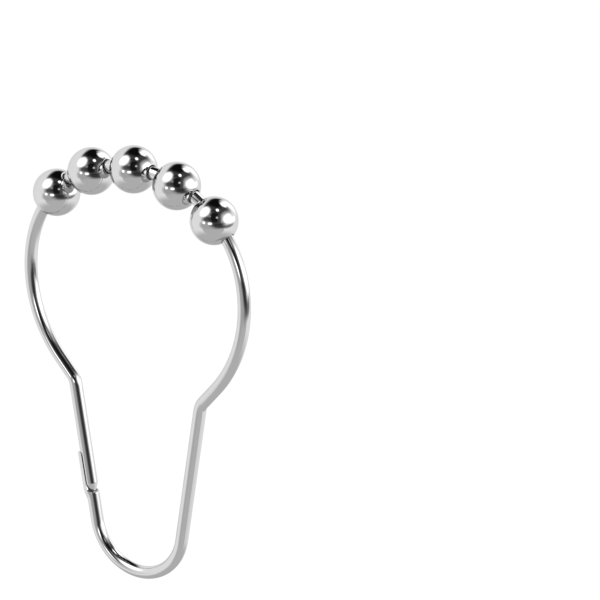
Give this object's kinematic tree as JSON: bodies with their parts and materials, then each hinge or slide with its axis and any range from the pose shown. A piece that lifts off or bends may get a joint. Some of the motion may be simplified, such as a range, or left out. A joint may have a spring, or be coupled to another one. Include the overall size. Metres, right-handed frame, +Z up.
{
  "type": "shower curtain hook",
  "caption": "Chrome wire shower curtain hook, a pear-shaped closed loop with bored roller balls on its crown, a U-bend for the curtain's eyelet and a latch in its back leg.",
  "frame": {"origin": "the rod seat: the lowest point of the middle roller ball, on the loop's middle line, where the top of the rod touches", "axes": "+Z up as it hangs, Y along the rod, +X to the front of the hook; the latch is on the back leg at -X"},
  "size_m": [0.0462, 0.008, 0.0756],
  "materials": {
    "bright_wire": "mirror polished",
    "bright_ball": "mirror plated"
  },
  "bodies": {
    "hook": {"wire_hook": "bright_wire"},
    "roller_1": {"roller_ball_1": "bright_ball"},
    "roller_2": {"roller_ball_2": "bright_ball"},
    "roller_3": {"roller_ball_3": "bright_ball"},
    "roller_4": {"roller_ball_4": "bright_ball"},
    "roller_5": {"roller_ball_5": "bright_ball"}
  },
  "joints": [
    {"name": "roller_1_spin", "type": "hinge", "parent": "hook", "child": "roller_1", "pos_m": [-0.01612, 0, -0.00226], "axis": [0.7022, 0, 0.7119], "continuous": true},
    {"name": "roller_2_spin", "type": "hinge", "parent": "hook", "child": "roller_2", "pos_m": [-0.00872, 0, 0.00247], "axis": [0.9394, 0, 0.3428], "continuous": true},
    {"name": "roller_3_spin", "type": "hinge", "parent": "hook", "child": "roller_3", "pos_m": [0, 0, 0.004], "axis": [1, 0, 0], "continuous": true},
    {"name": "roller_4_spin", "type": "hinge", "parent": "hook", "child": "roller_4", "pos_m": [0.00872, 0, 0.00247], "axis": [0.9394, 0, -0.3428], "continuous": true},
    {"name": "roller_5_spin", "type": "hinge", "parent": "hook", "child": "roller_5", "pos_m": [0.01612, 0, -0.00226], "axis": [0.7022, 0, -0.7119], "continuous": true}
  ]
}
